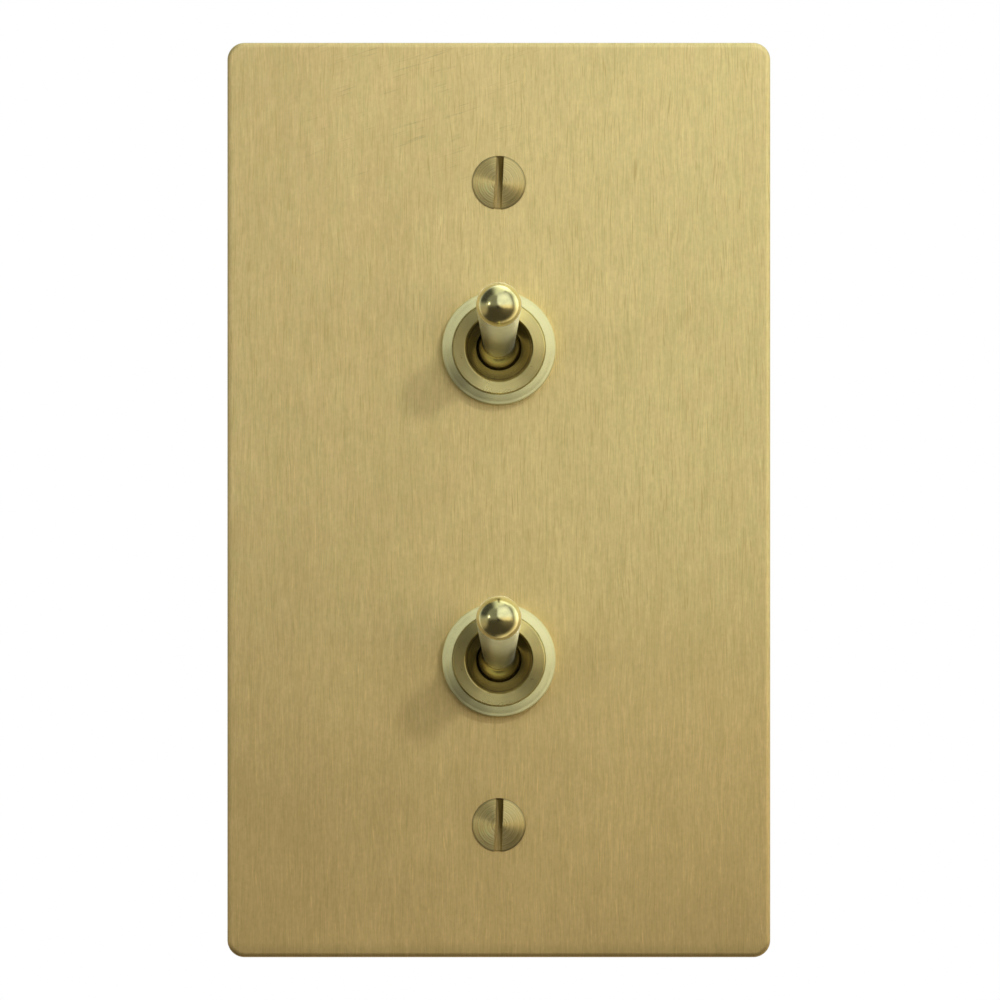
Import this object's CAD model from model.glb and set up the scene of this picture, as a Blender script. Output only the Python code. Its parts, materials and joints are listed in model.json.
import json
import math

import bmesh
import bpy
import numpy as np
from mathutils import Matrix, Vector


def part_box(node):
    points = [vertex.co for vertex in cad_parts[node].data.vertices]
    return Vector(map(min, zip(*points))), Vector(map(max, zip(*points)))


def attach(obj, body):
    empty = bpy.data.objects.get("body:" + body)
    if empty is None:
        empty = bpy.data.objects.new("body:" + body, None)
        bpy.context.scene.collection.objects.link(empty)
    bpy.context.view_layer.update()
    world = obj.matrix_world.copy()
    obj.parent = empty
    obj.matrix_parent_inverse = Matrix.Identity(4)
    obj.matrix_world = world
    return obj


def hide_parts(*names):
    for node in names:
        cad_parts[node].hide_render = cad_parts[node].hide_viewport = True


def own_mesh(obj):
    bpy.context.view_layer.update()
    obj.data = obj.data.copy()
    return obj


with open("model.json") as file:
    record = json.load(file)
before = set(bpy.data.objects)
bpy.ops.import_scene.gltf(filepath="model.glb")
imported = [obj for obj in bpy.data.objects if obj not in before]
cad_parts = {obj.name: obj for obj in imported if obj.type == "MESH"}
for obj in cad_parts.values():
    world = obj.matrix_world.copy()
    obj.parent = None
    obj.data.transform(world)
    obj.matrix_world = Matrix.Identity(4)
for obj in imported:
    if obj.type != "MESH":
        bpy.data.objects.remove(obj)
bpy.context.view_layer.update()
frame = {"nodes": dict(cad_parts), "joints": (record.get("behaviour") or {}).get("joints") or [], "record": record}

MM = 0.001

# brightness and colour of the studio
KEY_LEVEL = 1.06
KEY_HIGH, KEY_LOW = (0.955, 1.02, 1.10), (1.0, 0.84, 0.57)
WORLD_LEVEL = 1.15
CORE_POWER, CORE_COL = 2.66, (0.99, 0.99, 0.96)
FILL_POWER, LOW_POWER = 0.62, 0.20

record = frame["record"]
joint = {j["name"]: j for j in frame["joints"]}
half_throw = math.radians(joint["upper_lever_throw"]["range_deg"][1]) / 2


# ---------------------------------------------------------------- places
def mid(node):
    lo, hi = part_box(node)
    return (lo + hi) / 2


plate_lo, plate_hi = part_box("faceplate")
FRONT = plate_lo.y                                  # the plate's front face
PLATE_MID = (plate_lo + plate_hi) / 2
GANG = {g: mid(g + "_collar").z for g in ("upper", "lower")}
BUSH_LO, BUSH_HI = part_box("upper_bush")
COLLAR_LO, COLLAR_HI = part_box("upper_collar")
SCREW_LO, SCREW_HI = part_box("plate_screws")
PIVOT_Y = joint["upper_lever_throw"]["pos_m"][1]
HEAD_R, CROWN_H = (SCREW_HI.x - SCREW_LO.x) / 2, 1.0 * MM
_edge = FRONT - 0.12 * MM
_rad = (HEAD_R ** 2 + CROWN_H ** 2) / (2 * CROWN_H)
SCREW_CROWN = (_edge - CROWN_H + _rad, _rad)        # centre and radius of the head's dome


# ---------------------------------------------------------------- mesh code
def rounded(points, steps=5):
    """Corner list (r, y, fillet) in mm, open or closed, to a dense profile in mm."""
    out = []
    n = len(points)
    for i, p in enumerate(points):
        r, y = p[0], p[1]
        f = p[2] if len(p) > 2 else 0.0
        if f <= 0 or i == 0 or i == n - 1:
            out.append((r, y))
            continue
        a = Vector((points[i - 1][0] - r, points[i - 1][1] - y))
        b = Vector((points[i + 1][0] - r, points[i + 1][1] - y))
        la, lb = a.length, b.length
        a, b = a / la, b / lb
        half = math.acos(max(-1, min(1, a.dot(b)))) / 2
        if half > math.pi / 2 - 0.02:
            out.append((r, y))
            continue
        cut = min(f / math.tan(half), la * 0.48, lb * 0.48)
        rad = cut * math.tan(half)
        c = Vector((r, y)) + (a + b).normalized() * (rad / math.sin(half))
        s, e = Vector((r, y)) + a * cut - c, Vector((r, y)) + b * cut - c
        turn = math.pi - 2 * half
        sign = 1 if s.x * e.y - s.y * e.x > 0 else -1
        for k in range(steps + 1):
            t = sign * turn * k / steps
            out.append((c.x + s.x * math.cos(t) - s.y * math.sin(t),
                        c.y + s.x * math.sin(t) + s.y * math.cos(t)))
    return out


def arc(c, rad, a0, a1, n):
    """Points on a circle in the (r, y) plane, angles in degrees from +r towards +y."""
    return [(c[0] + rad * math.cos(math.radians(a0 + (a1 - a0) * k / n)),
             c[1] + rad * math.sin(math.radians(a0 + (a1 - a0) * k / n)))
            for k in range(n + 1)]


def mesh_object(name, verts, faces, normals=None):
    me = bpy.data.meshes.new(name)
    me.from_pydata([tuple(v) for v in verts], [], faces)
    me.validate()
    me.update()
    for p in me.polygons:
        p.use_smooth = True
    if normals is not None:
        me.normals_split_custom_set_from_vertices([tuple(v) for v in normals])
    ob = bpy.data.objects.new(name, me)
    bpy.context.scene.collection.objects.link(ob)
    return ob


def turned(name, profile, around=160, closed=False, thread=None):
    """Surface of revolution about the local Y axis. profile is in mm. thread is
    (y0, y1, pitch, depth): the outer wall between y0 and y1 (mm) gets a helical thread."""
    pts = []
    for p in profile:
        if not pts or (abs(p[0] - pts[-1][0]) + abs(p[1] - pts[-1][1])) > 1e-6:
            pts.append(p)
    if thread:
        y0, y1, pitch, depth, wall = thread
        dense = []
        for a, b in zip(pts, pts[1:] + ([pts[0]] if closed else [])):
            dense.append(a)
            if abs(a[0] - wall) < 1e-4 and abs(b[0] - wall) < 1e-4 and abs(a[1] - b[1]) > pitch:
                n = int(abs(a[1] - b[1]) / pitch * 8)
                dense += [(wall, a[1] + (b[1] - a[1]) * k / n) for k in range(1, n)]
        if not closed:
            dense.append(pts[-1])
        pts = dense
    theta = [2 * math.pi * j / around for j in range(around)]
    rows, verts = [], []
    for r, y in pts:
        if r < 1e-6:
            rows.append([len(verts)])
            verts.append((0.0, y, 0.0))
            continue
        row = []
        for t in theta:
            rr = r
            if thread and abs(r - thread[4]) < 1e-4 and y0 <= y <= y1:
                ph = (y / pitch + t / (2 * math.pi)) % 1.0
                fade = min(1.0, (y - y0) / pitch, (y1 - y) / pitch)
                v = abs(2 * ph - 1)
                rr = r - depth * fade * min(1.0, max(0.0, (v - 0.12) / 0.76))
            row.append(len(verts))
            verts.append((rr * math.cos(t), y, rr * math.sin(t)))
        rows.append(row)
    v = np.array(verts) * MM
    m = len(rows)
    faces = []
    pairs = [(i, i + 1) for i in range(m - 1)] + ([(m - 1, 0)] if closed else [])
    for i, k in pairs:
        a, b = rows[i], rows[k]
        if len(a) == 1 and len(b) == 1:
            continue
        for j in range(around):
            j2 = (j + 1) % around
            if len(a) == 1:
                faces.append((a[0], b[j], b[j2]))
            elif len(b) == 1:
                faces.append((a[j], b[0], a[j2]))
            else:
                faces.append((a[j], b[j], b[j2], a[j2]))
    # the profile's signed area decides which side is out
    area = sum(p[0] * q[1] - q[0] * p[1] for p, q in zip(pts, pts[1:] + [pts[0]]))
    side = 1.0 if area > 0 else -1.0
    ring = [np.array([v[row[0]]] * around) if len(row) == 1 else v[row] for row in rows]
    nor = np.zeros_like(v)
    for i, row in enumerate(rows):
        here = ring[i]
        ds = np.zeros((around, 3))
        for k, s in ((i - 1, -1.0), (i + 1, 1.0)):
            if not closed and not 0 <= k < m:
                continue
            d = (ring[k % m] - here) * s
            ds += d * (np.linalg.norm(d, axis=1) ** 2.0)[:, None]
        if len(row) == 1:
            nor[row[0]] = (0, -1.0 if (i == 0) == (pts[0][1] < pts[-1][1]) else 1.0, 0)
            continue
        dt = np.roll(here, -1, axis=0) - np.roll(here, 1, axis=0)
        c = np.cross(ds, dt) * side
        nor[row] = c / np.maximum(np.linalg.norm(c, axis=1), 1e-30)[:, None]
    # (r, y) turned by theta: a counter-clockwise profile gives faces whose normals point out
    f = next(f for f in faces if len(f) == 4)
    g = np.cross(v[f[1]] - v[f[0]], v[f[3]] - v[f[0]])
    if np.dot(g, nor[f[0]]) < 0:
        faces = [tuple(reversed(f)) for f in faces]
    return mesh_object(name, v, faces, nor)


def sharpen(ob, degrees=30):
    me = ob.data
    if me.has_custom_normals:
        a = me.attributes.get("custom_normal")
        if a:
            me.attributes.remove(a)
    for p in me.polygons:
        p.use_smooth = True
    me.set_sharp_from_angle(angle=math.radians(degrees))


def soften(node, width, segments=3, angle=32):
    """Rounds the edges of a CAD node with modifiers; the node's own mesh stays as packed."""
    ob = frame["nodes"][node]
    me = ob.data
    a = me.attributes.get("custom_normal")
    if a:
        me.attributes.remove(a)
    for p in me.polygons:
        p.use_smooth = True
    w = ob.modifiers.new("weld", "WELD")
    w.merge_threshold = 1e-6
    b = ob.modifiers.new("round", "BEVEL")
    b.width = width * MM
    b.segments = segments
    b.limit_method = "ANGLE"
    b.angle_limit = math.radians(angle)
    b.use_clamp_overlap = True
    n = ob.modifiers.new("even", "WEIGHTED_NORMAL")
    n.keep_sharp = False
    n.weight = 90
    return ob


# ---------------------------------------------------------------- node helpers
class Mat:
    def __init__(self, name):
        self.m = bpy.data.materials.new(name)
        self.m.use_nodes = True
        self.t = self.m.node_tree
        self.t.nodes.clear()
        self.out = self.t.nodes.new("ShaderNodeOutputMaterial")
        self.b = self.t.nodes.new("ShaderNodeBsdfPrincipled")
        self.t.links.new(self.b.outputs[0], self.out.inputs["Surface"])
        self.obj = self.node("ShaderNodeTexCoord").outputs["Object"]

    def node(self, kind, props=None, **ins):
        n = self.t.nodes.new(kind)
        for k, v in (props or {}).items():
            setattr(n, k, v)
        for k, v in ins.items():
            key = int(k[1:]) if k[0] == "i" and k[1:].isdigit() else k.replace("_", " ")
            self.put(n.inputs[key], v)
        return n

    def put(self, socket, v):
        if isinstance(v, bpy.types.NodeSocket):
            self.t.links.new(v, socket)
        else:
            socket.default_value = v

    def math(self, op, a, b=0.0, c=0.0, clamp=False):
        n = self.node("ShaderNodeMath", {"operation": op, "use_clamp": clamp}, i0=a, i1=b, i2=c)
        return n.outputs[0]

    def step(self, x, lo, hi, a=0.0, b=1.0):
        n = self.node("ShaderNodeMapRange", {"interpolation_type": "SMOOTHSTEP", "clamp": True},
                      i0=x, i1=lo, i2=hi, i3=a, i4=b)
        return n.outputs[0]

    def line(self, x, lo, hi, a=0.0, b=1.0):
        n = self.node("ShaderNodeMapRange", {"clamp": True}, i0=x, i1=lo, i2=hi, i3=a, i4=b)
        return n.outputs[0]

    def scale(self, v, s):
        n = self.node("ShaderNodeVectorMath", {"operation": "MULTIPLY"}, i0=v, i1=s)
        return n.outputs[0]

    def add(self, v, s):
        n = self.node("ShaderNodeVectorMath", {"operation": "ADD"}, i0=v, i1=s)
        return n.outputs[0]

    def noise(self, v, scale=1.0, detail=2.0, rough=0.5, dims="3D", distort=0.0):
        n = self.node("ShaderNodeTexNoise", {"noise_dimensions": dims}, Vector=v, Scale=scale,
                      Detail=detail, Roughness=rough, Distortion=distort)
        return n.outputs["Fac"]

    def mix(self, f, a, b, kind="MIX"):
        n = self.t.nodes.new("ShaderNodeMix")
        n.data_type = "RGBA"
        n.blend_type = kind
        n.clamp_factor = True
        col = [s for s in n.inputs if s.type == "RGBA"]
        fac = [s for s in n.inputs if s.type == "VALUE" and s.name == "Factor"][0]
        self.put(fac, f)
        self.put(col[0], a if not isinstance(a, tuple) else (*a, 1.0) if len(a) == 3 else a)
        self.put(col[1], b if not isinstance(b, tuple) else (*b, 1.0) if len(b) == 3 else b)
        return [s for s in n.outputs if s.type == "RGBA"][0]

    def gain(self, colour, f):
        """colour times a scalar socket"""
        n = self.t.nodes.new("ShaderNodeVectorMath")
        n.operation = "SCALE"
        self.put(n.inputs[0], colour)
        self.put(n.inputs["Scale"], f)
        return n.outputs[0]

    def vary(self, colour, f, lo, hi, amount):
        """colour made paler or deeper by a noise; blue moves most, as in worn brass"""
        up = tuple(1 + amount * k for k in (1.0, 1.0, 1.45))
        down = tuple(1 - amount * k for k in (1.0, 1.0, 1.4))
        m = self.mix(self.line(f, lo, hi), self.rgb(down), self.rgb(up))
        n = self.t.nodes.new("ShaderNodeVectorMath")
        n.operation = "MULTIPLY"
        self.put(n.inputs[0], colour)
        self.put(n.inputs[1], m)
        return n.outputs[0]

    def times(self, colour, f, c):
        """colour multiplied channel by channel by c where f is 1"""
        return self.mix(f, colour, self.rgb(c), "MULTIPLY")

    def facing(self, x, z, r, degrees, lo, hi=1.0):
        """1 where the azimuth round local Y is near `degrees`, 0 below cosine lo"""
        a = math.radians(degrees)
        d = self.math("ADD", self.math("MULTIPLY", x, math.cos(a)), self.math("MULTIPLY", z, math.sin(a)))
        return self.step(self.math("DIVIDE", d, self.math("MAXIMUM", r, 1e-6)), lo, hi)

    def rgb(self, c):
        n = self.t.nodes.new("ShaderNodeRGB")
        n.outputs[0].default_value = (*c, 1.0)
        return n.outputs[0]

    def split(self, v):
        n = self.node("ShaderNodeSeparateXYZ", i0=v)
        return n.outputs

    def join(self, x, y, z):
        n = self.node("ShaderNodeCombineXYZ", i0=x, i1=y, i2=z)
        return n.outputs[0]

    def world(self, v):
        n = self.t.nodes.new("ShaderNodeVectorTransform")
        n.vector_type, n.convert_from, n.convert_to = "VECTOR", "OBJECT", "WORLD"
        self.put(n.inputs[0], v)
        return n.outputs[0]

    def bump(self, h, dist, strength=1.0, normal=None):
        n = self.node("ShaderNodeBump", Height=h, Distance=dist, Strength=strength)
        if normal is not None:
            self.put(n.inputs["Normal"], normal)
        return n.outputs[0]

    def set(self, **ins):
        for k, v in ins.items():
            self.put(self.b.inputs[k.replace("_", " ")], v)
        return self.m


def wear(g, colour, rough, amount=0.06, scale=260.0, specks=0.86):
    """Broad uneven patches and tiny specks that every metal piece shares."""
    patch = g.noise(g.obj, scale, 3.0, 0.55)
    colour = g.gain(colour, g.line(patch, 0.3, 0.7, 1 - amount, 1 + amount))
    speck = g.noise(g.obj, scale * 14, 1.0, 0.5)
    colour = g.gain(colour, g.line(speck, 0.62, 0.75, 1.0, specks))
    rough = g.math("ADD", rough, g.line(patch, 0.3, 0.7, -amount * 0.6, amount * 0.6))
    return colour, rough


# ---------------------------------------------------------------- brass
PLATE_COL = (0.880, 0.700, 0.304)
PLATE_ROUGH, PLATE_ANISO, PLATE_METAL = 0.45, 0.60, 0.62


def plate_brass():
    g = Mat("plate_brass")
    p = g.obj
    x, y, z = g.split(p)
    # grain: hairlines 0.1 to 0.4 mm wide and 1 to 6 mm long, running up the plate
    sway = g.noise(g.scale(p, (420, 300, 90)), 1.0, 1.0)
    warp = g.add(p, g.scale(g.join(sway, 0.0, 0.0), (0.0011, 0, 0)))
    hair = g.noise(g.scale(warp, (9800, 900, 270)), 1.0, 3.0, 0.66)
    hair2 = g.noise(g.scale(g.add(warp, (0.11, 0.23, 0.37)), (5800, 700, 430)), 1.0, 2.0, 0.6)
    band = g.noise(g.scale(warp, (2500, 300, 120)), 1.0, 2.0, 0.55)
    wide = g.noise(g.scale(warp, (560, 100, 60)), 1.0, 2.0, 0.5)
    dark = g.noise(g.scale(g.add(warp, (0.31, 0.17, 0.05)), (8200, 600, 230)), 1.0, 1.0, 0.4)
    light = g.noise(g.scale(g.add(warp, (0.77, 0.47, 0.15)), (8600, 600, 260)), 1.0, 1.0, 0.4)
    patch = g.noise(g.scale(p, (85, 85, 60)), 1.0, 3.0, 0.6)
    peel = g.noise(g.scale(p, (2100, 2100, 1500)), 1.0, 2.0, 0.65)
    dent = g.noise(g.scale(g.add(p, (0.5, 0.1, 0.2)), (760, 760, 560)), 1.0, 2.0, 0.5)
    hue = g.noise(g.scale(g.add(p, (0.7, 0.2, 0.4)), (520, 500, 260)), 1.0, 3.0, 0.6)
    col = g.rgb(PLATE_COL)
    # pinkish tan against olive green
    col = g.mix(g.step(hue, 0.36, 0.64), g.rgb(
        (PLATE_COL[0] * 0.99, PLATE_COL[1] * 1.005, PLATE_COL[2] * 1.0)), g.rgb(
        (PLATE_COL[0] * 1.01, PLATE_COL[1] * 0.99, PLATE_COL[2] * 1.0)))
    # handling has dulled and yellowed the lower end a little
    col = g.mix(g.step(z, 0.012, -0.064), col, g.rgb(
        (PLATE_COL[0] * 0.87, PLATE_COL[1] * 0.80, PLATE_COL[2] * 0.74)))
    drift = g.math("ADD", x, g.line(patch, 0.3, 0.7, -0.012, 0.012))
    col = g.times(col, g.step(drift, 0.004, -0.036), (0.945, 0.935, 0.93))
    col = g.gain(col, g.line(g.math("MULTIPLY", g.step(x, -0.004, 0.034), g.step(z, -0.040, -0.058)), 0, 1, 1.0, 0.90))
    green = g.step(g.math("ADD", g.math("MULTIPLY", x, 0.8), g.line(hue, 0.3, 0.7, -0.012, 0.012)), -0.008, 0.020)
    green = g.math("MULTIPLY", green, g.step(z, -0.034, -0.006))
    col = g.gain(col, g.line(green, 0, 1, 1.0, 1.045))
    col = g.times(col, green, (0.965, 1.0, 1.0))
    cloud = g.noise(g.scale(g.add(p, (0.2, 0.9, 0.6)), (95, 95, 60)), 1.0, 2.0, 0.55)
    col = g.mix(g.step(cloud, 0.36, 0.64), g.gain(col, 1.01), g.gain(col, 0.985))
    col = g.vary(col, hair, 0.24, 0.76, 0.108)
    col = g.vary(col, hair2, 0.25, 0.75, 0.06)
    col = g.vary(col, band, 0.3, 0.7, 0.035)
    col = g.vary(col, wide, 0.3, 0.7, 0.02)
    col = g.vary(col, patch, 0.3, 0.7, 0.015)
    col = g.vary(col, peel, 0.3, 0.7, 0.045)
    col = g.vary(col, dent, 0.3, 0.7, 0.015)
    # a few darker, deeper lines and a few bright ones
    dk = g.step(dark, 0.635, 0.71)
    lt = g.step(light, 0.65, 0.73)
    col = g.mix(g.math("MULTIPLY", dk, 0.8), col, g.rgb(
        (PLATE_COL[0] * 0.80, PLATE_COL[1] * 0.76, PLATE_COL[2] * 0.66)))
    col = g.gain(col, g.line(lt, 0, 1, 1.0, 1.13))
    # the rounded edge is duller than the brushed face
    brim = g.step(g.math("ADD", y, g.line(hair2, 0.3, 0.7, -0.00006, 0.00006)), FRONT + 0.00006, FRONT + 0.00042)
    col = g.gain(col, g.line(brim, 0, 1, 1.0, 0.54))
    col = g.gain(col, g.step(z, plate_lo.z + 0.0022, plate_lo.z + 0.0008, 1.0, 0.86))
    # light cross scratches near the upper left corner
    turnx = g.math("ADD", g.math("MULTIPLY", x, 0.30), g.math("MULTIPLY", z, -0.954))
    along = g.math("ADD", g.math("MULTIPLY", x, 0.954), g.math("MULTIPLY", z, 0.30))
    scr = g.noise(g.join(g.math("MULTIPLY", along, 150.0), 0.0, g.math("MULTIPLY", turnx, 3800.0)),
                  1.0, 2.0, 0.6)
    zone = g.math("MULTIPLY", g.step(z, 0.036, 0.050), g.step(x, 0.012, -0.006))
    zone = g.math("MULTIPLY", zone, g.step(x, -0.030, -0.020))
    zone = g.math("MULTIPLY", zone, g.step(g.noise(p, 260.0, 2.0), 0.38, 0.60))
    mark = g.math("MULTIPLY", g.step(scr, 0.56, 0.68), zone)
    col = g.gain(col, g.line(mark, 0, 1, 1.0, 0.84))
    rough = g.line(hair, 0.25, 0.75, PLATE_ROUGH - 0.05, PLATE_ROUGH + 0.05)
    rough = g.math("ADD", rough, g.line(patch, 0.3, 0.7, -0.02, 0.02))
    h = g.math("ADD", g.math("MULTIPLY", hair, 0.6), g.math("MULTIPLY", band, 0.4))
    h = g.math("SUBTRACT", h, g.math("MULTIPLY", dk, 0.5))
    h = g.math("ADD", h, g.math("MULTIPLY", peel, 0.8))
    h = g.math("ADD", h, g.math("MULTIPLY", dent, 0.6))
    nor = g.bump(h, 0.0000045, 1.0)
    return g.set(Base_Color=col, Metallic=PLATE_METAL, Roughness=rough, Normal=nor,
                 Anisotropic=PLATE_ANISO, Tangent=g.join(1.0, 0.0, 0.0),
                 Specular_IOR_Level=0.3)


def turned_brass(name, base, rough, aniso, ring=9000.0, ringbump=0.0000012, value=0.035,
                 tangent=True, blotch=0.05, metallic=1.0, patina=False):
    """Lathe-turned brass: rings round the local Y axis."""
    g = Mat(name)
    x, y, z = g.split(g.obj)
    r = g.math("SQRT", g.math("ADD", g.math("MULTIPLY", x, x), g.math("MULTIPLY", z, z)))
    slow = g.noise(g.obj, 330.0, 2.0)
    rings = g.noise(g.join(g.math("MULTIPLY", r, ring), g.math("MULTIPLY", y, ring),
                           g.math("MULTIPLY", slow, 1.3)), 1.0, 2.0, 0.6)
    col = g.gain(g.rgb(base), g.line(rings, 0.3, 0.7, 1 - value, 1 + value))
    ro = g.line(rings, 0.3, 0.7, rough * 0.88, rough * 1.12)
    col, ro = wear(g, col, ro, blotch, 420.0)
    if patina:
        col = g.gain(col, g.line(g.facing(x, z, r, 228, 0.78), 0, 1, 1.0, 0.66))
        col = g.gain(col, g.line(g.facing(x, z, r, -42, 0.80), 0, 1, 1.0, 1.12))
    nor = g.bump(rings, ringbump, 1.0)
    g.set(Base_Color=col, Metallic=metallic, Roughness=ro, Normal=nor, Anisotropic=aniso)
    if tangent:
        inv = g.math("DIVIDE", 1.0, g.math("MAXIMUM", r, 1e-6))
        g.set(Tangent=g.world(g.join(g.math("MULTIPLY", x, inv), 0.0, g.math("MULTIPLY", z, inv))))
    return g.m


def screw_brass():
    """Turned crown with tool rings, duller cut slot, bright rolled thread."""
    g = Mat("screw_brass")
    x, y, z = g.split(g.obj)
    r2 = g.math("ADD", g.math("MULTIPLY", x, x), g.math("MULTIPLY", z, z))
    r = g.math("SQRT", r2)
    slow = g.noise(g.obj, 420.0, 2.0)
    rings = g.noise(g.join(g.math("MULTIPLY", r, 7200.0), 0.0, g.math("MULTIPLY", slow, 1.2)),
                    1.0, 3.0, 0.65)
    # depth below the crown tells the slot from the head
    crown_c, crown_r = SCREW_CROWN
    crown_y = g.math("SUBTRACT", crown_c, g.math("SQRT", g.math("MAXIMUM", g.math(
        "SUBTRACT", crown_r * crown_r, r2), 1e-12)))
    sunk = g.math("SUBTRACT", y, crown_y)
    slot = g.math("MULTIPLY", g.step(sunk, 0.00006, 0.00016), g.step(y, FRONT + 0.0003, FRONT + 0.00025))
    col = g.vary(g.rgb((0.86, 0.70, 0.30)), rings, 0.3, 0.7, 0.20)
    col = g.gain(col, g.line(g.facing(x, z, r, 212, 0.50), 0, 1, 1.0, 1.22))
    col = g.gain(col, g.line(g.facing(x, z, r, -50, 0.60), 0, 1, 1.0, 0.88))
    col, ro = wear(g, col, g.line(rings, 0.3, 0.7, 0.42, 0.54), 0.06, 420.0)
    saw = g.noise(g.scale(g.obj, (5200, 5200, 420)), 1.0, 3.0, 0.6)
    # burnished along the left wall, dark oxide in the lee of the right one
    lee = g.math("SUBTRACT", x, g.line(z, -0.0032, 0.0032, 0.00030, -0.00024))
    cut = g.mix(g.step(lee, -0.00010, 0.00010), g.rgb((0.66, 0.50, 0.20)), g.mix(
        g.step(z, -0.0020, 0.0012), g.rgb((0.50, 0.37, 0.12)), g.rgb((0.26, 0.18, 0.04))))
    cut = g.gain(cut, g.line(saw, 0.3, 0.7, 0.82, 1.18))
    cut = g.gain(cut, g.line(z, -0.0030, 0.0032, 1.1, 0.72))
    col = g.mix(slot, col, cut)
    # tarnish gathered at the head's edge
    rim = g.step(r, 0.00316, 0.00346)
    rim = g.math("MULTIPLY", rim, g.step(y, FRONT + 0.0003, FRONT + 0.0002))
    col = g.gain(col, g.line(rim, 0, 1, 1.0, 0.62))
    nor = g.bump(g.math("ADD", rings, g.math("MULTIPLY", g.math("MULTIPLY", saw, slot), 2.0)), 0.000003, 1.0)
    inv = g.math("DIVIDE", 1.0, g.math("MAXIMUM", r, 1e-6))
    tangent = g.world(g.join(g.math("MULTIPLY", x, inv), 0.0, g.math("MULTIPLY", z, inv)))
    return g.set(Base_Color=col, Metallic=g.line(slot, 0, 1, 0.9, 1.0), Roughness=ro, Normal=nor,
                 Anisotropic=g.line(slot, 0, 1, 0.94, 0.1), Tangent=tangent)


def bush_brass(face_y, cup_r, lip, back_y):
    """Satin ring-turned face and threads, polished bowl."""
    g = Mat("bush_brass")
    x, y, z = g.split(g.obj)
    r = g.math("SQRT", g.math("ADD", g.math("MULTIPLY", x, x), g.math("MULTIPLY", z, z)))
    slow = g.noise(g.obj, 330.0, 2.0)
    rings = g.noise(g.join(g.math("MULTIPLY", r, 8000.0), g.math("MULTIPLY", y, 8000.0),
                           g.math("MULTIPLY", slow, 1.5)), 1.0, 2.0, 0.6)
    polished = g.math("MULTIPLY", g.step(r, cup_r, cup_r - 0.00008), g.step(y, back_y, back_y - 0.0003))
    polished = g.math("MULTIPLY", polished, 1.0, clamp=True)
    col = g.mix(polished, g.rgb((0.60, 0.52, 0.22)), g.rgb((0.74, 0.61, 0.235)))
    col = g.gain(col, g.line(rings, 0.3, 0.7, 0.965, 1.035))
    # burnished above and below on the side the light comes from, tarnished on the other
    bare = g.math("SUBTRACT", 1.0, polished, clamp=True)
    col = g.gain(col, 1.14)
    col = g.gain(col, g.line(g.math("MULTIPLY", g.facing(x, z, r, 42, 0.45), bare), 0, 1, 1.0, 1.42))
    col = g.gain(col, g.line(g.math("MULTIPLY", g.facing(x, z, r, -86, 0.72), bare), 0, 1, 1.0, 1.42))
    col = g.gain(col, g.line(g.math("MULTIPLY", g.facing(x, z, r, 176, 0.30), bare), 0, 1, 1.0, 0.76))
    col = g.gain(col, g.line(g.math("MULTIPLY", g.facing(x, z, r, 8, 0.35, 0.95), polished), 0, 1, 1.0, 0.42))
    col = g.gain(col, g.line(g.math("MULTIPLY", g.facing(x, z, r, 172, 0.45, 0.95), polished), 0, 1, 1.0, 0.62))
    # two fine tool lines just inside the mouth of the bowl
    for at, half, f in ((0.00409, 0.00007, 0.45), (0.00423, 0.00006, 1.7), (0.00393, 0.00005, 1.35)):
        line = g.step(g.math("ABSOLUTE", g.math("SUBTRACT", r, at)), half, half * 0.3)
        col = g.gain(col, g.line(g.math("MULTIPLY", line, polished), 0, 1, 1.0, f))
    # a dull film in the corner of the bowl, by the eye
    film = g.step(r, 0.0034, 0.00292)
    col = g.gain(col, g.line(g.math("MULTIPLY", film, polished), 0, 1, 1.0, 0.72))
    ro = g.line(polished, 0, 1, 0.29, 0.24)
    col, ro = wear(g, col, ro, 0.05, 420.0, 0.98)
    nor = g.bump(rings, 0.0000011, 1.0)
    inv = g.math("DIVIDE", 1.0, g.math("MAXIMUM", r, 1e-6))
    return g.set(Base_Color=col, Metallic=g.line(polished, 0, 1, 0.95, 0.93), Roughness=ro, Normal=nor,
                 Anisotropic=g.line(polished, 0, 1, 0.68, 0.40),
                 Tangent=g.world(g.join(g.math("MULTIPLY", x, inv), 0.0,
                                        g.math("MULTIPLY", z, inv))))


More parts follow.
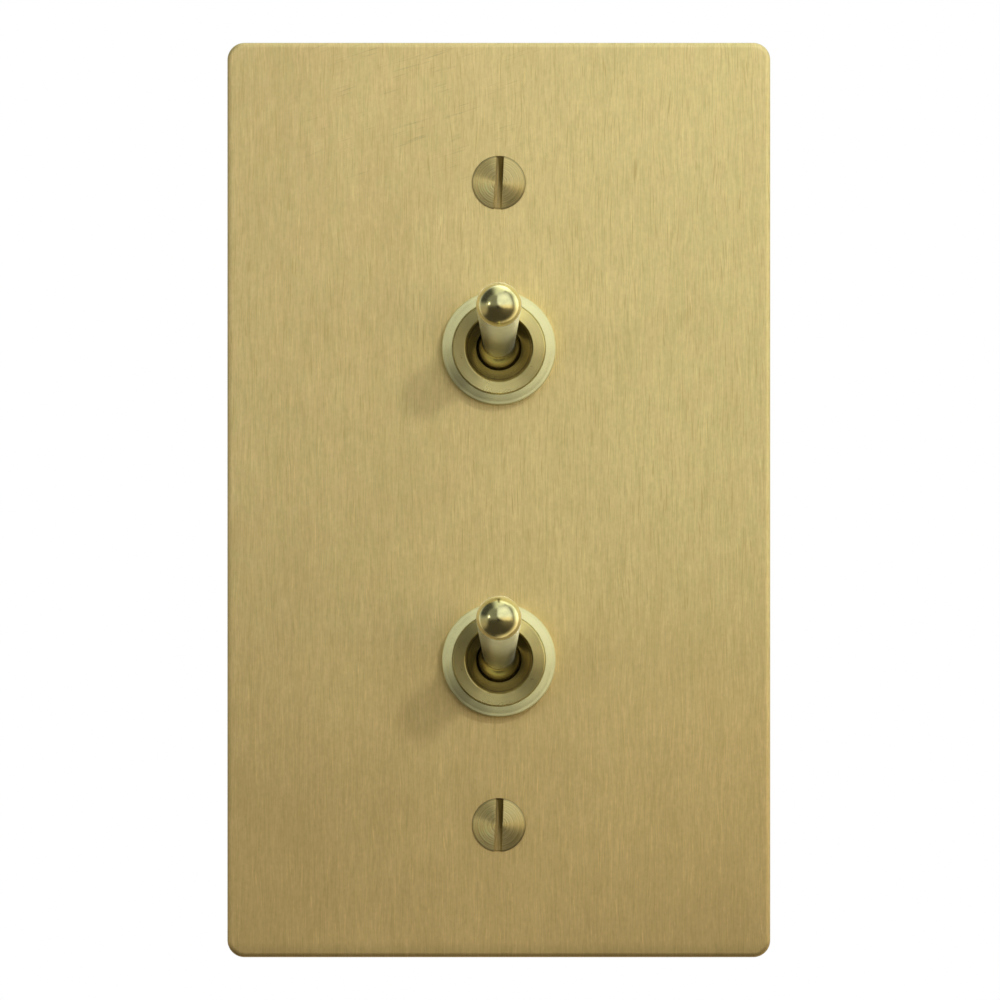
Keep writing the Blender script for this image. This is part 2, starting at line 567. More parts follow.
def lever_brass(edge_y):
    """Polished round tip, satin shank, worn ball. Local axis is -Y towards the tip."""
    g = Mat("lever_brass")
    x, y, z = g.split(g.obj)
    tip = g.step(y, edge_y + 0.00012, edge_y - 0.00022)
    ball = g.step(y, -0.0042, -0.0024)
    rag = g.noise(g.obj, 900.0, 3.0, 0.6)
    dust = g.noise(g.obj, 4200.0, 2.0, 0.6)
    rings = g.noise(g.join(g.math("MULTIPLY", y, 5200.0), g.math("MULTIPLY", x, 260.0),
                           g.math("MULTIPLY", z, 260.0)), 1.0, 2.0, 0.6)
    base = g.mix(g.step(y, -0.0076, edge_y + 0.003), g.rgb((0.42, 0.36, 0.13)), g.rgb((0.93, 0.92, 0.60)))
    col = g.mix(tip, base, g.rgb((0.78, 0.71, 0.34)))
    # bare metal turns pale where it is seen edge on
    edge_on = g.node("ShaderNodeLayerWeight", Blend=0.5).outputs["Facing"]
    col = g.mix(g.math("MULTIPLY", g.step(edge_on, 0.34, 0.68), 0.8), col, g.rgb((0.97, 0.96, 0.68)))
    col = g.mix(ball, col, g.rgb((0.44, 0.39, 0.20)))
    col = g.gain(col, g.line(rag, 0.3, 0.7, 0.95, 1.05))
    col = g.gain(col, g.line(dust, 0.35, 0.7, 1.015, 0.97))
    ro = g.line(tip, 0, 1, 0.30, 0.18)
    ro = g.math("ADD", ro, g.line(rag, 0.3, 0.7, -0.025, 0.035))
    ro = g.math("SUBTRACT", ro, g.math("MULTIPLY", ball, 0.08))
    soft = g.bump(rag, 0.000006, g.math("MULTIPLY", g.line(tip, 0, 1, 0.35, 0.9), g.line(ball, 0, 1, 1.0, 0.15)))
    nor = g.bump(rings, 0.0000006, g.line(tip, 0, 1, 1.0, 0.12), soft)
    shank = g.step(y, -0.0085, -0.0135, 0.92, 0.66)
    metal = g.math("MAXIMUM", tip, g.math("MAXIMUM", shank, ball))
    return g.set(Base_Color=col, Metallic=metal, Roughness=ro, Normal=nor, Sheen_Weight=g.math("ADD", g.step(y, -0.011, -0.018, 0.06, 0.35), g.math("MULTIPLY", tip, 0.36)),
                 Sheen_Roughness=0.28, Sheen_Tint=(1.0, 0.97, 0.76, 1.0))


def sheet_metal(name, base, rough, metallic=1.0, grain=(1400, 1400, 160), amount=0.05,
                mottle=0.0, bump=0.0000015):
    g = Mat(name)
    streak = g.noise(g.scale(g.obj, grain), 1.0, 3.0, 0.6)
    col = g.gain(g.rgb(base), g.line(streak, 0.3, 0.7, 1 - amount, 1 + amount))
    ro = g.line(streak, 0.3, 0.7, rough * 0.85, rough * 1.15)
    if mottle:
        # faint yellow and blue passivation tints
        tint = g.noise(g.obj, 190.0, 3.0, 0.6, distort=0.6)
        col = g.mix(g.line(tint, 0.35, 0.7, 0.0, mottle), col, g.rgb(
            (base[0] * 1.03, base[1] * 0.94, base[2] * 0.72)))
        tint2 = g.noise(g.add(g.obj, (0.4, 0.1, 0.2)), 260.0, 2.0, 0.6)
        col = g.mix(g.line(tint2, 0.5, 0.75, 0.0, mottle), col, g.rgb(
            (base[0] * 0.88, base[1] * 0.95, base[2] * 1.06)))
    col, ro = wear(g, col, ro, amount, 380.0)
    nor = g.bump(streak, bump, 1.0)
    return g.set(Base_Color=col, Metallic=metallic, Roughness=ro, Normal=nor)


def phenolic():
    g = Mat("phenolic")
    flow = g.noise(g.obj, 240.0, 4.0, 0.6, distort=1.2)
    speck = g.noise(g.obj, 5200.0, 2.0, 0.6)
    skin = g.noise(g.obj, 2600.0, 3.0, 0.6)
    col = g.mix(g.line(flow, 0.3, 0.7), g.rgb((0.021, 0.013, 0.010)), g.rgb((0.038, 0.024, 0.018)))
    col = g.mix(g.step(speck, 0.6, 0.74, 0, 0.55), col, g.rgb((0.13, 0.085, 0.06)))
    ro = g.line(flow, 0.3, 0.7, 0.24, 0.36)
    nor = g.bump(skin, 0.000012, 0.7)
    return g.set(Base_Color=col, Metallic=0.0, Roughness=ro, Normal=nor, IOR=1.55)


def green_dye():
    g = Mat("green_screw")
    rag = g.noise(g.obj, 800.0, 3.0, 0.6)
    edge = g.noise(g.obj, 2400.0, 2.0, 0.6)
    col = g.mix(g.line(rag, 0.3, 0.7), g.rgb((0.045, 0.20, 0.075)), g.rgb((0.075, 0.30, 0.11)))
    col = g.mix(g.step(edge, 0.66, 0.76, 0, 0.7), col, g.rgb((0.55, 0.52, 0.42)))
    ro = g.line(rag, 0.3, 0.7, 0.26, 0.40)
    nor = g.bump(edge, 0.000006, 0.8)
    return g.set(Base_Color=col, Metallic=0.75, Roughness=ro, Normal=nor)


def give(ob, material):
    ob.data.materials.clear()
    ob.data.materials.append(material)
    return ob


MATS = {}
MATS["plate_brass"] = plate_brass()
MATS["screw_brass"] = screw_brass()
MATS["collar_brass"] = turned_brass("collar_brass", (0.88, 0.835, 0.435), 0.50, 0.20, patina=True,
                                    ringbump=0.0000008, value=0.02, metallic=0.5)
MATS["nut_brass"] = turned_brass("nut_brass", (0.76, 0.62, 0.30), 0.28, 0.4)
MATS["terminal_brass"] = sheet_metal("terminal_brass", (0.76, 0.62, 0.30), 0.24,
                                     grain=(2200, 2200, 2200))
MATS["contact_brass"] = sheet_metal("contact_brass", (0.78, 0.60, 0.28), 0.26,
                                    grain=(300, 1800, 1800))
MATS["rocker_copper"] = sheet_metal("rocker_copper", (0.74, 0.44, 0.27), 0.27,
                                    grain=(300, 1800, 1800))
MATS["steel"] = sheet_metal("steel", (0.60, 0.60, 0.585), 0.26, grain=(1600, 1600, 1600))
MATS["spring_steel"] = sheet_metal("spring_steel", (0.55, 0.55, 0.54), 0.22,
                                   grain=(2600, 2600, 2600))
MATS["zinc_steel"] = sheet_metal("zinc_steel", (0.62, 0.62, 0.58), 0.30, grain=(1800, 240, 240),
                                 mottle=0.5)
MATS["silver"] = sheet_metal("silver", (0.84, 0.83, 0.80), 0.22, grain=(2500, 2500, 2500))
MATS["phenolic"] = phenolic()
MATS["green_screw"] = green_dye()

# ---------------------------------------------------------------- CAD nodes that are shown
slots = {s["node"]: s["material_slot"] for s in record["subparts"]}
own = {"plate_brass": "plate_brass", "contact_brass": "contact_brass", "steel": "steel",
       "zinc_steel": "zinc_steel", "silver": "silver", "phenolic": "phenolic",
       "green_screw": "green_screw", "nut_brass": "nut_brass", "screw_brass": "terminal_brass"}
for name, ob in frame["nodes"].items():
    key = own.get(slots[name], "steel")
    if name.endswith("_rocker"):
        key = "rocker_copper"
    give(ob, MATS[key])

round_by = {"case": 0.40, "bracket": 0.28, "back_nut": 0.16, "lock_washer": 0.10,
            "common_terminal": 0.12, "traveller_terminals": 0.12, "fixed_contacts": 0.10,
            "terminal_screws": 0.07, "moving_contacts": 0.07, "rocker": 0.15, "plunger": 0.06}
for g in ("upper", "lower"):
    for part, w in round_by.items():
        soften(g + "_" + part, w)
soften("ground_screw", 0.12)
soften("ground_washer", 0.07)
soften("ground_tag", 0.12)

# ---------------------------------------------------------------- toggle front
MATS["bush_brass"] = bush_brass(BUSH_LO.y, 4.50 * MM, 0.16 * MM, -2.6 * MM)
LEVER_LEN = 19.6
MATS["lever_brass"] = lever_brass(-LEVER_LEN * MM)


def collar_piece(g):
    r0, r1 = 6.02, (COLLAR_HI.x - COLLAR_LO.x) / 2 / MM
    y0, y1 = COLLAR_LO.y / MM, COLLAR_HI.y / MM
    top = y0 + 0.5 - 0.06
    # top slopes and swells a little between the inner edge and the shoulder
    swell = [(r0 + 0.10 + (r1 - 0.30 - r0 - 0.10) * k / 10,
              y0 + (top - y0) * (k / 10) - 0.05 * math.sin(math.pi * k / 10)) for k in range(11)]
    pts = [(r0, y1, 0.05), (r0, y0 + 0.09, 0.03)] + [(p[0], p[1], 0.02) for p in swell[:1]] + \
          [(p[0], p[1]) for p in swell[1:-1]] + [(r1 - 0.02, top + 0.02, 0.34), (r1, y1, 0.08)]
    prof = rounded(pts + [(r0, y1)], 6)[:-1]
    prof = prof[1:] if abs(prof[0][0] - r0) < 1e-9 and abs(prof[0][1] - y1) < 1e-9 else prof
    ob = turned(g + "_collar_ring", [(r0 + 0.04, y1), (r0, y1 - 0.04)] + prof, 224, closed=True)
    ob.location = (0, 0, GANG[g])
    give(ob, MATS["collar_brass"])
    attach(ob, "plate")
    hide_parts(g + "_collar")


def bush_piece(g):
    f = BUSH_LO.y / MM
    back = BUSH_HI.y / MM
    br = 6.0
    lip_r, lip_y = 4.29, f + 0.17
    c = (lip_r ** 2 + lip_y ** 2 - 2.95 ** 2 - 3.0 ** 2) / (2 * (lip_y + 3.0))
    rad = math.hypot(2.95, -3.0 - c)
    a0 = math.degrees(math.atan2(lip_y - c, lip_r))
    a1 = math.degrees(math.atan2(-3.0 - c, 2.95))
    bowl = arc((0, c), rad, a0, a1, 26)
    pts = [(br - 0.13, f, 0.03), (br, f + 0.13, 0.04), (br, -2.9), (br, 7.0)]
    tail = [(br, 7.32, 0.02), (6.98, 7.32, 0.08), (6.98, back, 0.08), (5.12, back, 0.05),
            (3.35, 0.6, 0.05), (3.35, -2.75, 0.05), (2.95, -2.75, 0.04), (2.95, -2.97, 0.02)]
    prof = rounded([(4.9, f)] + pts + tail + [(2.95, -3.0)], 5)
    prof = prof[:-1] + list(reversed(bowl))
    prof += rounded([bowl[0], (4.335, f + 0.06, 0.06), (4.49, f, 0.07), (4.9, f)], 5)[1:-1]
    ob = turned(g + "_threaded_bush", prof, 224, closed=True, thread=(-0.9, 6.4, 0.794, 0.36, br))
    ob.location = (0, 0, GANG[g])
    give(ob, MATS["bush_brass"])
    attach(ob, "plate")
    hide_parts(g + "_bush")


def lever_piece(g):
    tr, nr, br = 2.95, 2.07, 3.3
    tip = arc((0, -LEVER_LEN), tr, -90, -4, 40)
    tip[0] = (0.0, -LEVER_LEN - tr)
    y_in = -math.sqrt(br ** 2 - 2.10 ** 2)
    # tapering shank, running into the ball through a small hollow
    t = tip[-1]
    start = math.degrees(math.acos(2.62 / br))
    ball = arc((0, 0), br, -start, math.degrees(math.acos(2.1 / br)), 30)
    shank = [(t[0] + (nr + 0.03 - t[0]) * k / 14, t[1] + (y_in - 0.8 - t[1]) * k / 14)
             for k in range(1, 15)]
    shank += rounded([shank[-1], (nr + 0.04, y_in - 0.02, 0.55), ball[0]], 8)[1:-1]
    tail = rounded([ball[-1], (2.1, 2.6, 0.0), (2.1, 10.4, 0.12), (1.4, 10.4, 0.08), (1.4, 2.28, 0.1),
                    (0.0, 2.28)], 4)[1:]
    prof = tip + shank + ball + tail
    ob = turned(g + "_bat_lever", prof, 192)
    ob.matrix_world = Matrix.Translation((0, PIVOT_Y, GANG[g])) @ Matrix.Rotation(-half_throw, 4, "X")
    give(ob, MATS["lever_brass"])
    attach(ob, g + "_lever_body")
    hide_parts(g + "_lever")


def spring_piece(g):
    turns, per, sides = 6.0, 28, 12
    wire, coil = 0.17, 1.12
    s0, s1 = 2.3 + 0.17 + 0.02, 7.0 - 0.17 - 0.02
    n = int(turns * per)
    verts, faces = [], []
    for i in range(n + 1):
        u = i / n
        a = 2 * math.pi * turns * u
        # closed and ground at both ends: the pitch eases in
        e = 0.5 - 0.5 * math.cos(math.pi * u)
        y = s0 + (s1 - s0) * (0.72 * u + 0.28 * e)
        for k in range(sides):
            b = 2 * math.pi * k / sides
            r = coil + wire * math.cos(b)
            verts.append((r * math.cos(a) * MM, (y + wire * math.sin(b)) * MM, r * math.sin(a) * MM))
    for i in range(n):
        for k in range(sides):
            q, w = i * sides, (i + 1) * sides
            faces.append((q + k, w + k, w + (k + 1) % sides, q + (k + 1) % sides))
    faces.append(tuple(range(sides)))
    faces.append(tuple(n * sides + k for k in reversed(range(sides))))
    ob = mesh_object(g + "_coil_spring", verts, faces)
    sharpen(ob, 50)
    ob.matrix_world = Matrix.Translation((0, PIVOT_Y, GANG[g])) @ Matrix.Rotation(-half_throw, 4, "X")
    give(ob, MATS["spring_steel"])
    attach(ob, g + "_lever_body")
    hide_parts(g + "_plunger_spring")
    # the coil shortens by the plunger's stroke as the plunger is pushed in
    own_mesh(ob)


def block(name, lo, hi):
    x0, y0, z0 = lo
    x1, y1, z1 = hi
    v = [(x, y, z) for x in (x0, x1) for y in (y0, y1) for z in (z0, z1)]
    f = [(0, 1, 3, 2), (4, 6, 7, 5), (0, 4, 5, 1), (2, 3, 7, 6), (0, 2, 6, 4), (1, 5, 7, 3)]
    return mesh_object(name, [(a * MM, b * MM, c * MM) for a, b, c in v], f)


def slot_cutter(edge, crown, hr):
    """Prism for the driver slot; its mouth follows the crown and flares a little."""
    floor, wall, n = edge + 0.35, 0.47, 24
    crown_r = (hr ** 2 + crown ** 2) / (2 * crown)
    verts, faces = [], []
    for k in range(n + 1):
        z = -hr - 0.6 + (2 * hr + 1.2) * k / n
        top = edge - crown + crown_r - math.sqrt(max(crown_r ** 2 - min(abs(z), hr) ** 2, 0))
        row = [(-wall, floor), (-wall, top + 0.10), (-wall - 0.16, top - 0.04), (-wall - 0.16, edge - 2.2),
               (wall + 0.12, edge - 2.2), (wall + 0.12, top - 0.04), (wall, top + 0.08), (wall, floor)]
        verts += [(x * MM, y * MM, z * MM) for x, y in row]
    m = 8
    for k in range(n):
        for i in range(m):
            a, b = k * m + i, k * m + (i + 1) % m
            faces.append((a, b, b + m, a + m))
    faces.append(tuple(reversed(range(m))))
    faces.append(tuple(n * m + i for i in range(m)))
    ob = mesh_object("slot_cutter", verts, faces)
    outward(ob)
    return ob


def box_screw(name, z, turn):
    """Oval head with a cut slot, neck, and a threaded shank."""
    hr, front = 3.465, FRONT / MM
    edge, crown = front - 0.12, 1.0
    cone_y = front + (hr - 1.9) * 1.15
    crown_r = (hr ** 2 + crown ** 2) / (2 * crown)
    a_out = math.degrees(math.atan2(edge - (edge - crown + crown_r), hr))
    # the crown keeps the tool's rings
    dome = []
    for k in range(181):
        a = math.radians(-90 + (a_out + 90) * k / 180)
        r = crown_r * math.cos(a)
        ring = 0.0110 * math.sin(2 * math.pi * r / 0.31) + 0.0040 * math.sin(2 * math.pi * r / 0.47 + 1.0)
        grow = min(1.0, r / 0.3) * min(1.0, (hr - r) / 0.12)
        dome.append((r, edge - crown + crown_r + crown_r * math.sin(a) + ring * grow))
    dome[0] = (0.0, edge - crown)
    end = SCREW_HI.y / MM
    rest = rounded([dome[-2], (hr, edge, 0.06), (hr, front, 0.05), (1.9, cone_y), (1.5, cone_y + 0.02, 0.1),
                    (1.5, 0.35, 0.05), (1.75, 0.6), (1.75, end - 0.8), (1.2, end, 0.1), (0.0, end)], 4)
    prof = dome[:-1] + rest[1:]
    ob = turned(name, prof, 200, thread=(0.7, end - 0.85, 0.794, 0.33, 1.75))
    cutter = slot_cutter(edge, crown, hr)
    cut = ob.modifiers.new("slot", "BOOLEAN")
    cut.operation, cut.solver, cut.object = "DIFFERENCE", "EXACT", cutter
    bpy.context.view_layer.update()
    dg = bpy.context.evaluated_depsgraph_get()
    me = bpy.data.meshes.new_from_object(ob.evaluated_get(dg))
    ob.modifiers.clear()
    ob.data = me
    me.name = name
    bpy.data.objects.remove(cutter)
    sharpen(ob, 32)
    ob.matrix_world = Matrix.Translation((0, 0, z)) @ Matrix.Rotation(math.radians(turn), 4, "Y")
    give(ob, MATS["screw_brass"])
    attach(ob, "plate")
    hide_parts("plate_screws")
    return ob


def plate_piece():
    """Plate with an evenly rounded front edge, recessed back, screw pads, boss and holes."""
    w, h = plate_hi.x - plate_lo.x, plate_hi.z - plate_lo.z
    front, corner, edge, rim, floor = FRONT / MM, 2.2, 0.6, 5.0, -1.0
    n = 16

    def loop(inset, y, radius):
        a, b = w / MM / 2 - inset - radius, h / MM / 2 - inset - radius
        out = []
        for q, (sx, sz) in enumerate(((1, 1), (-1, 1), (-1, -1), (1, -1))):
            for k in range(n + 1):
                t = math.pi / 2 * (q + k / n)
                out.append((sx * a + radius * math.cos(t), y, sz * b + radius * math.sin(t)))
        return out

    rows = [loop(edge + 0.06, front, corner - edge - 0.06)]
    for k in range(15):
        t = math.pi / 2 * k / 14
        inset = edge * (1 - math.sin(t))
        rows.append(loop(inset, front + edge * (1 - math.cos(t)), corner - inset))
    for k in range(4):
        t = math.pi / 2 * k / 3
        rows.append(loop(0.12 * (1 - math.cos(t)), -0.12 * (1 - math.sin(t)), corner - 0.12 * (1 - math.cos(t))))
    rows.append(loop(0.2, 0.0, corner - 0.2))
    rows.append(loop(rim - 0.2, 0.0, 2.2))
    rows.append(loop(rim - 0.1, 0.0, 2.1))
    rows.append(loop(rim, -0.1, 2.0))
    rows.append(loop(rim, floor, 2.0))
    rows.append(loop(rim + 0.1, floor, 1.9))
    m = len(rows[0])
    verts = [((x * MM + PLATE_MID.x), y * MM, (z * MM + PLATE_MID.z)) for row in rows for x, y, z in row]
    faces = [(i * m + k, i * m + (k + 1) % m, (i + 1) * m + (k + 1) % m, (i + 1) * m + k)
             for i in range(len(rows) - 1) for k in range(m)]
    faces.append(tuple(range(m)))
    faces.append(tuple((len(rows) - 1) * m + k for k in range(m)))
    ob = mesh_object("face_plate", verts, faces)
    outward(ob)

    def rods(label, items):
        made = []
        for x, z, prof in items:
            o = turned("rod", prof, 96)
            outward(o)
            v = [(c.co.x + x, c.co.y, c.co.z + z) for c in o.data.vertices]
            f = [tuple(p.vertices) for p in o.data.polygons]
            made.append((v, f))
            bpy.data.objects.remove(o)
        vs, fs = [], []
        for v, f in made:
            base = len(vs)
            vs += v
            fs += [tuple(i + base for i in p) for p in f]
        return mesh_object(label, vs, fs)

    tag_x = mid("ground_screw").x
    tag_z = mid("ground_screw").z
    pitch2 = 83.3 * MM / 2
    pads = rods("pads", [
        (0, pitch2, [(0, floor - 0.2), (5.5, floor - 0.2), (5.5, -0.38), (5.42, -0.3), (0, -0.3)]),
        (0, -pitch2, [(0, floor - 0.2), (5.5, floor - 0.2), (5.5, -0.38), (5.42, -0.3), (0, -0.3)]),
        (tag_x, tag_z, [(0, floor - 0.2), (3.6, floor - 0.2), (3.6, 1.92), (3.52, 2.0), (0, 2.0)])])
    hr = (SCREW_HI.x - SCREW_LO.x) / 2 / MM + 0.03
    cone = front + 0.05 + (hr - 1.93) * 1.15
    holes = rods("holes", [(0, GANG[g], [(0, front - 1), (6.05, front - 1), (6.05, 1.0), (0, 1.0)])
                           for g in ("upper", "lower")] + [
        (0, s * pitch2, [(0, front - 1), (hr, front - 1), (hr, front + 0.05), (1.95, cone), (1.95, 1.0), (0, 1.0)])
        for s in (1, -1)] + [
        (tag_x, tag_z, [(0, floor - 0.6), (1.75, floor - 0.6), (1.75, 3.0), (0, 3.0)])])
    for other, op in ((pads, "UNION"), (holes, "DIFFERENCE")):
        mod = ob.modifiers.new(op.lower(), "BOOLEAN")
        mod.operation, mod.solver, mod.object = op, "EXACT", other
    bpy.context.view_layer.update()
    me = bpy.data.meshes.new_from_object(ob.evaluated_get(bpy.context.evaluated_depsgraph_get()))
    ob.modifiers.clear()
    ob.data = me
    me.name = "face_plate"
    bpy.data.objects.remove(pads)
    bpy.data.objects.remove(holes)
    sharpen(ob, 28)
    give(ob, MATS["plate_brass"])
    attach(ob, "plate")
    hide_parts("faceplate")


def outward(ob):
    bm = bmesh.new()
    bm.from_mesh(ob.data)
    bmesh.ops.recalc_face_normals(bm, faces=bm.faces)
    bm.to_mesh(ob.data)
    bm.free()


plate_piece()
for g in ("upper", "lower"):
    collar_piece(g)
    bush_piece(g)
    lever_piece(g)
    spring_piece(g)
pitch = 83.3 * MM
box_screw("box_screw_top", pitch / 2, 2.8)
box_screw("box_screw_bottom", -pitch / 2, 1.7)

# ---------------------------------------------------------------- floor
def floor_piece(z):
    n, rings = 96, 24
    verts, faces = [(0, 0, z)], []
    for i in range(1, rings + 1):
        r = 1.6 * (i / rings) ** 1.5
        for k in range(n):
            a = 2 * math.pi * k / n
            verts.append((r * math.cos(a), r * math.sin(a), z))
    for k in range(n):
        faces.append((0, 1 + k, 1 + (k + 1) % n))
    for i in range(rings - 1):
        for k in range(n):
            a, b = 1 + i * n, 1 + (i + 1) * n
            faces.append((a + k, b + k, b + (k + 1) % n, a + (k + 1) % n))
    ob = mesh_object("studio_floor", verts, faces)
    g = Mat("floor_paper")
    x, y, zz = g.split(g.obj)
    r = g.math("SQRT", g.math("ADD", g.math("MULTIPLY", x, x), g.math("MULTIPLY", y, y)))
    grain = g.noise(g.obj, 900.0, 3.0)
    g.set(Base_Color=g.gain(g.rgb((0.86, 0.86, 0.85)), g.line(grain, 0.3, 0.7, 0.99, 1.01)),
          Roughness=0.85, Specular_IOR_Level=0.1)
    geo = g.node("ShaderNodeNewGeometry")
    dot = g.node("ShaderNodeVectorMath", {"operation": "DOT_PRODUCT"},
                 i0=geo.outputs["Normal"], i1=geo.outputs["Incoming"]).outputs["Value"]
    facing = g.math("ABSOLUTE", dot)
    show = g.math("MULTIPLY", g.step(r, 0.75, 0.22), g.step(facing, 0.02, 0.12))
    clear = g.node("ShaderNodeBsdfTransparent")
    mixer = g.node("ShaderNodeMixShader", i0=show, i1=clear.outputs[0], i2=g.b.outputs[0])
    g.t.links.new(mixer.outputs[0], g.out.inputs["Surface"])
    give(ob, g.m)
    ob.visible_glossy = False
    ob.visible_diffuse = False


floor_piece(plate_lo.z - 0.0002)

# ---------------------------------------------------------------- light
world = bpy.data.worlds.new("studio")
bpy.context.scene.world = world
world.use_nodes = True
wt = world.node_tree
wt.nodes.clear()


class World(Mat):
    def __init__(self, tree):
        self.t = tree
        self.obj = self.node("ShaderNodeTexCoord").outputs["Generated"]


w = World(wt)
dx, dy, dz = w.split(w.obj)
# dim in front and below, a bright tent overhead, to the right and behind
behind = w.step(dy, -0.15, 0.35)
far_left = w.step(dy, 0.22, 0.55)
side = w.mix(w.step(dx, -0.3, 0.35), w.gain((0.66, 0.66, 0.66), far_left), w.gain((1.05, 1.05, 1.05), behind))
side = w.split(side)[0]
side = w.math("MULTIPLY", side, w.step(dz, -0.9, 0.5, 0.80, 1.0))
roof = w.math("MULTIPLY", w.step(dz, 0.70, 0.93), w.step(dx, -0.50, -0.05))
right = w.math("MULTIPLY", w.step(dx, 0.80, 0.97), w.step(dz, -0.35, 0.1))
low_right = w.math("MULTIPLY", w.step(dx, -0.1, 0.6), w.step(dz, -0.9, -0.1))
level = w.math("ADD", 0.055, side)
level = w.math("ADD", level, w.math("MULTIPLY", roof, 0.75))
level = w.math("ADD", level, w.math("MULTIPLY", right, 0.45))
level = w.math("ADD", level, w.math("MULTIPLY", low_right, 0.10))
level = w.math("ADD", level, w.math("MULTIPLY", w.step(dx, -0.75, -0.93, 0.0, 0.30), w.step(dz, 0.30, 0.0)))
upper_left = w.math("MULTIPLY", w.step(dx, 0.05, -0.25), w.step(dz, -0.16, 0.10))
upper_left = w.math("MULTIPLY", upper_left, w.step(dy, -0.30, -0.55))
level = w.math("ADD", level, w.math("MULTIPLY", upper_left, 0.17))
level = w.math("MULTIPLY", level, WORLD_LEVEL)
tone = w.mix(w.step(dz, -0.4, 0.3), w.rgb((1.0, 0.86, 0.62)), w.rgb((0.93, 1.0, 0.93)))
ambient = w.node("ShaderNodeBackground", Color=w.gain(tone, level), Strength=1.0)
white = w.node("ShaderNodeBackground", Color=(1, 1, 1, 1), Strength=1.0)
seen = w.node("ShaderNodeLightPath").outputs["Is Camera Ray"]
both = w.node("ShaderNodeMixShader", i0=seen, i1=ambient.outputs[0], i2=white.outputs[0])
wo = wt.nodes.new("ShaderNodeOutputWorld")
wt.links.new(both.outputs[0], wo.inputs["Surface"])


def panel(name, direction, distance, size, power, colour=(1, 1, 1), spread=180.0, target=(0, 0, 0)):
    L = bpy.data.lights.new(name, "AREA")
    L.shape = "RECTANGLE"
    L.size, L.size_y = size
    L.energy = power
    L.color = colour
    L.spread = math.radians(spread)
    ob = bpy.data.objects.new(name, L)
    bpy.context.scene.collection.objects.link(ob)
    d = Vector(direction).normalized()
    ob.location = Vector(target) + d * distance
    ob.rotation_mode = "QUATERNION"
    ob.rotation_quaternion = d.to_track_quat("Z", "Y")
    ob.visible_camera = False
    return ob


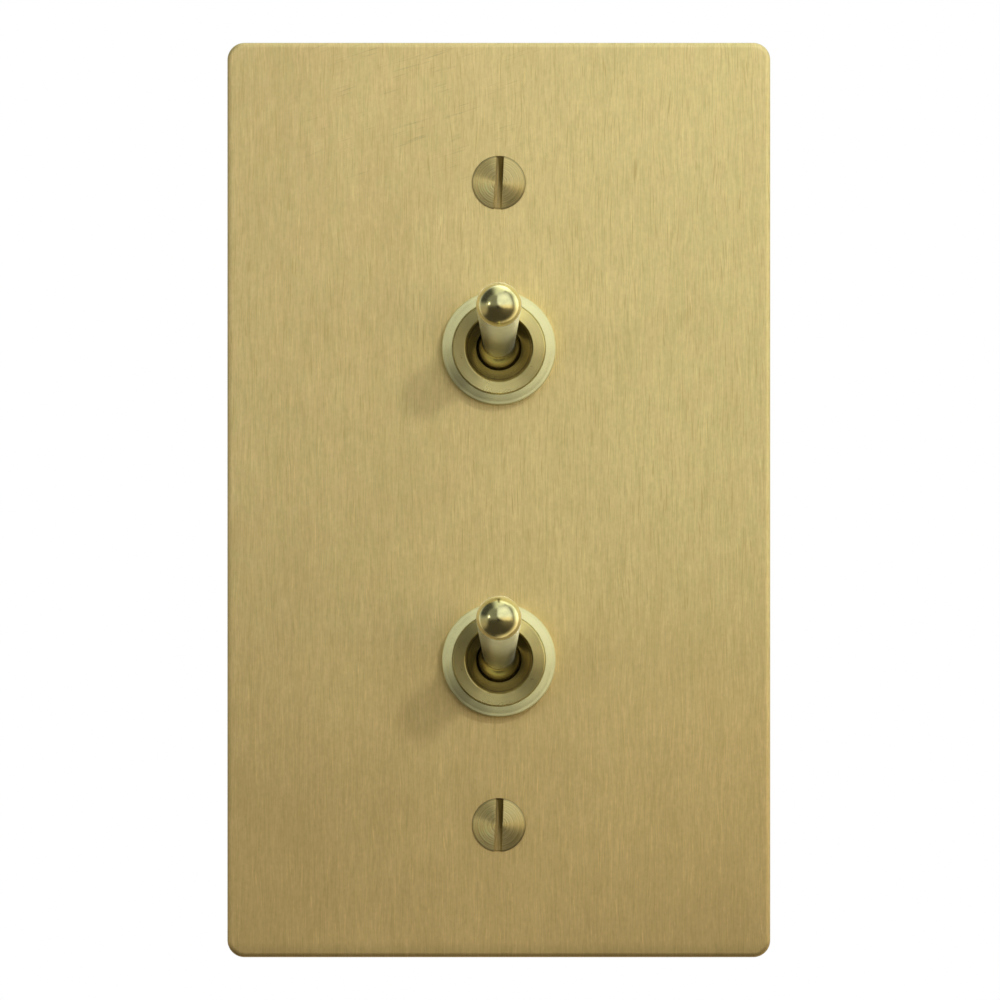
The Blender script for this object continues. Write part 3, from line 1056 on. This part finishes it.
def key_dome():
    """A large soft light at the upper right: part of a globe of 0.5 m radius round the plate,
    brighter and cooler high up, warmer low down, fading at its edges."""
    R, na, ne = 0.5, 36, 30
    az = [math.radians(-9 + 92 * i / na) for i in range(na + 1)]
    el = [math.radians(-12 + 80 * k / ne) for k in range(ne + 1)]
    verts = [(R * math.sin(a) * math.cos(e), FRONT - R * math.cos(a) * math.cos(e),
              PLATE_MID.z + R * math.sin(e)) for a in az for e in el]
    faces = [(i * (ne + 1) + k, i * (ne + 1) + k + 1, (i + 1) * (ne + 1) + k + 1, (i + 1) * (ne + 1) + k)
             for i in range(na) for k in range(ne)]
    ob = mesh_object("key_light", verts, faces)
    g = Mat("key_light")
    x, y, z = g.split(g.add(g.obj, (0, -FRONT, -PLATE_MID.z)))
    a = g.math("ARCTAN2", x, g.math("MULTIPLY", y, -1.0))
    e = g.math("ARCSINE", g.math("DIVIDE", z, R))
    deg = math.radians
    wob = g.line(g.noise(g.obj, 9.0, 2.0, 0.5), 0.3, 0.7, -0.07, 0.07)
    lean = g.math("ADD", g.math("ADD", a, g.math("MULTIPLY", e, 0.30)), wob)
    near = g.math("ADD", lean, g.math("MULTIPLY", g.step(e, deg(12), deg(-9)), -0.22))
    glow = g.math("MULTIPLY", g.step(near, deg(-12), deg(4)),
                  g.step(g.math("ADD", g.math("ADD", e, g.math("MULTIPLY", wob, 0.6)), g.step(a, deg(8), deg(30), 0.0, deg(7))), deg(-8.0), deg(3)))
    glow = g.math("MULTIPLY", glow, g.step(a, deg(82), deg(58), 0.25, 1.0))
    glow = g.math("MULTIPLY", glow, g.step(e, deg(67), deg(48), 0.6, 1.0))
    cloud = g.noise(g.obj, 6.5, 2.0, 0.55)
    glow = g.math("MULTIPLY", glow, g.line(cloud, 0.3, 0.7, 0.84, 1.16))
    tint = g.mix(g.step(e, deg(-6), deg(14)), g.rgb(KEY_LOW), g.rgb(KEY_HIGH))
    em = g.node("ShaderNodeEmission", Color=tint, Strength=g.math("MULTIPLY", glow, KEY_LEVEL))
    g.t.nodes.remove(g.b)
    g.t.links.new(em.outputs[0], g.out.inputs["Surface"])
    give(ob, g.m)
    ob.visible_camera = False
    ob.visible_shadow = False


aim = (PLATE_MID.x, FRONT, PLATE_MID.z)
key_dome()
core = panel("key_core", (0.405, -0.755, 0.515), 0.8, (0.062, 0.062), CORE_POWER, CORE_COL, target=aim)
core.visible_glossy = False
fill = panel("fill_left", (-0.68, -0.58, 0.30), 0.8, (0.5, 0.4), FILL_POWER, (1.0, 1.0, 0.97), target=aim)
fill.visible_glossy = False
low = panel("fill_low", (0.35, -0.50, -0.70), 0.8, (0.5, 0.4), LOW_POWER, (1.0, 0.80, 0.50), target=aim)
low.visible_glossy = False
# a card near the table that only the levers see
card = panel("lever_card", (0.42, -0.905, -0.06), 0.8, (0.3, 0.06), 6.0, (0.98, 1.0, 0.82), target=aim)
card.visible_glossy = False
only = bpy.data.collections.new("levers_lit_from_below")
for gang in GANG:
    only.objects.link(bpy.data.objects[gang + "_bat_lever"])
card.light_linking.receiver_collection = only
panel("window_a", (-0.74, -0.62, 0.17), 1.4, (0.13, 0.17), 0.42, (1.0, 1.0, 1.0), target=aim)
panel("window_b", (-0.80, -0.58, 0.09), 1.4, (0.05, 0.09), 0.08, (1.0, 1.0, 1.0), target=aim)

# ---------------------------------------------------------------- camera
camera = bpy.data.cameras.new("camera")
camera.type = "PERSP"
camera.sensor_width = 36.0
camera.lens = 1000.0
camera.clip_start, camera.clip_end = 0.5, 12.0
cam = bpy.data.objects.new("camera", camera)
bpy.context.scene.collection.objects.link(cam)
WIDE = 0.12969                                   # width of the view at the plate's front
cam.location = (PLATE_MID.x + 0.00015, FRONT - WIDE * camera.lens / camera.sensor_width, PLATE_MID.z)
cam.rotation_mode = "QUATERNION"
cam.rotation_quaternion = Vector((0, -1, 0)).to_track_quat("Z", "Y")
bpy.context.scene.camera = cam
bpy.context.scene.view_settings.view_transform = "Standard"
bpy.context.scene.view_settings.look = "None"
